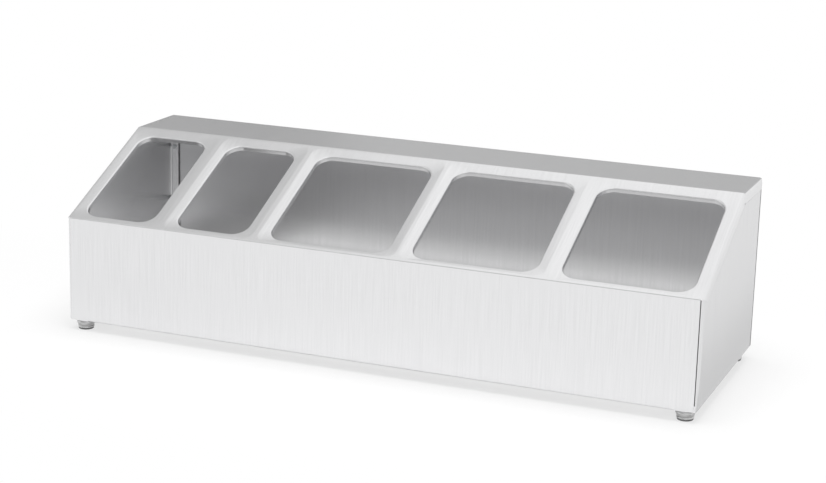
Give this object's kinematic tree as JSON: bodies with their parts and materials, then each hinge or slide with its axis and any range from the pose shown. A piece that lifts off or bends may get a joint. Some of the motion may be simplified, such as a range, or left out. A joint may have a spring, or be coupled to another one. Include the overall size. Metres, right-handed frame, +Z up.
{
  "type": "gastronorm pan holder",
  "caption": "Folded stainless-steel counter holder with a sloped deck of drawn openings for small pans, a level ledge behind and conical levelling feet.",
  "frame": {"origin": "on the surface it stands on, below the middle of the case", "axes": "+X along the length, to the right of someone who faces the front panel, +Y to the rear, +Z up"},
  "size_m": [0.74, 0.25, 0.209],
  "materials": {
    "case_sheet": "brushed",
    "foot_metal": "polished",
    "foot_rubber": "matte",
    "fastener": "plain"
  },
  "bodies": {
    "holder": {"deck_shell": "case_sheet", "left_side_panel": "case_sheet", "right_side_panel": "case_sheet", "back_panel": "case_sheet", "back_panel_screws": "fastener", "back_panel_nuts": "fastener", "foot_weld_nuts": "fastener", "foot_plate_front_left": "case_sheet", "foot_plate_front_right": "case_sheet", "foot_plate_rear_left": "case_sheet", "foot_plate_rear_right": "case_sheet"},
    "foot_front_left": {"foot_pad_front_left": "foot_metal", "foot_sole_front_left": "foot_rubber"},
    "stud_front_left": {"foot_stud_front_left": "fastener"},
    "foot_front_right": {"foot_pad_front_right": "foot_metal", "foot_sole_front_right": "foot_rubber"},
    "stud_front_right": {"foot_stud_front_right": "fastener"},
    "foot_rear_left": {"foot_pad_rear_left": "foot_metal", "foot_sole_rear_left": "foot_rubber"},
    "stud_rear_left": {"foot_stud_rear_left": "fastener"},
    "foot_rear_right": {"foot_pad_rear_right": "foot_metal", "foot_sole_rear_right": "foot_rubber"},
    "stud_rear_right": {"foot_stud_rear_right": "fastener"}
  },
  "joints": [
    {"name": "front_left_level", "type": "slide", "parent": "holder", "child": "foot_front_left", "axis": [0, 0, -1], "range_m": [0, 0.008]},
    {"name": "front_left_turn", "type": "hinge", "parent": "foot_front_left", "child": "stud_front_left", "pos_m": [-0.355, -0.112, 0.02], "axis": [0, 0, -1], "range_deg": [0, 2880]},
    {"name": "front_right_level", "type": "slide", "parent": "holder", "child": "foot_front_right", "axis": [0, 0, -1], "range_m": [0, 0.008]},
    {"name": "front_right_turn", "type": "hinge", "parent": "foot_front_right", "child": "stud_front_right", "pos_m": [0.355, -0.112, 0.02], "axis": [0, 0, -1], "range_deg": [0, 2880]},
    {"name": "rear_left_level", "type": "slide", "parent": "holder", "child": "foot_rear_left", "axis": [0, 0, -1], "range_m": [0, 0.008]},
    {"name": "rear_left_turn", "type": "hinge", "parent": "foot_rear_left", "child": "stud_rear_left", "pos_m": [-0.355, 0.107, 0.02], "axis": [0, 0, -1], "range_deg": [0, 2880]},
    {"name": "rear_right_level", "type": "slide", "parent": "holder", "child": "foot_rear_right", "axis": [0, 0, -1], "range_m": [0, 0.008]},
    {"name": "rear_right_turn", "type": "hinge", "parent": "foot_rear_right", "child": "stud_rear_right", "pos_m": [0.355, 0.107, 0.02], "axis": [0, 0, -1], "range_deg": [0, 2880]}
  ],
  "couplings": [
    {"joint": "front_left_turn", "follows": "front_left_level", "rad_per_m": 6283.2},
    {"joint": "front_right_turn", "follows": "front_right_level", "rad_per_m": 6283.2},
    {"joint": "rear_left_turn", "follows": "rear_left_level", "rad_per_m": 6283.2},
    {"joint": "rear_right_turn", "follows": "rear_right_level", "rad_per_m": 6283.2}
  ]
}
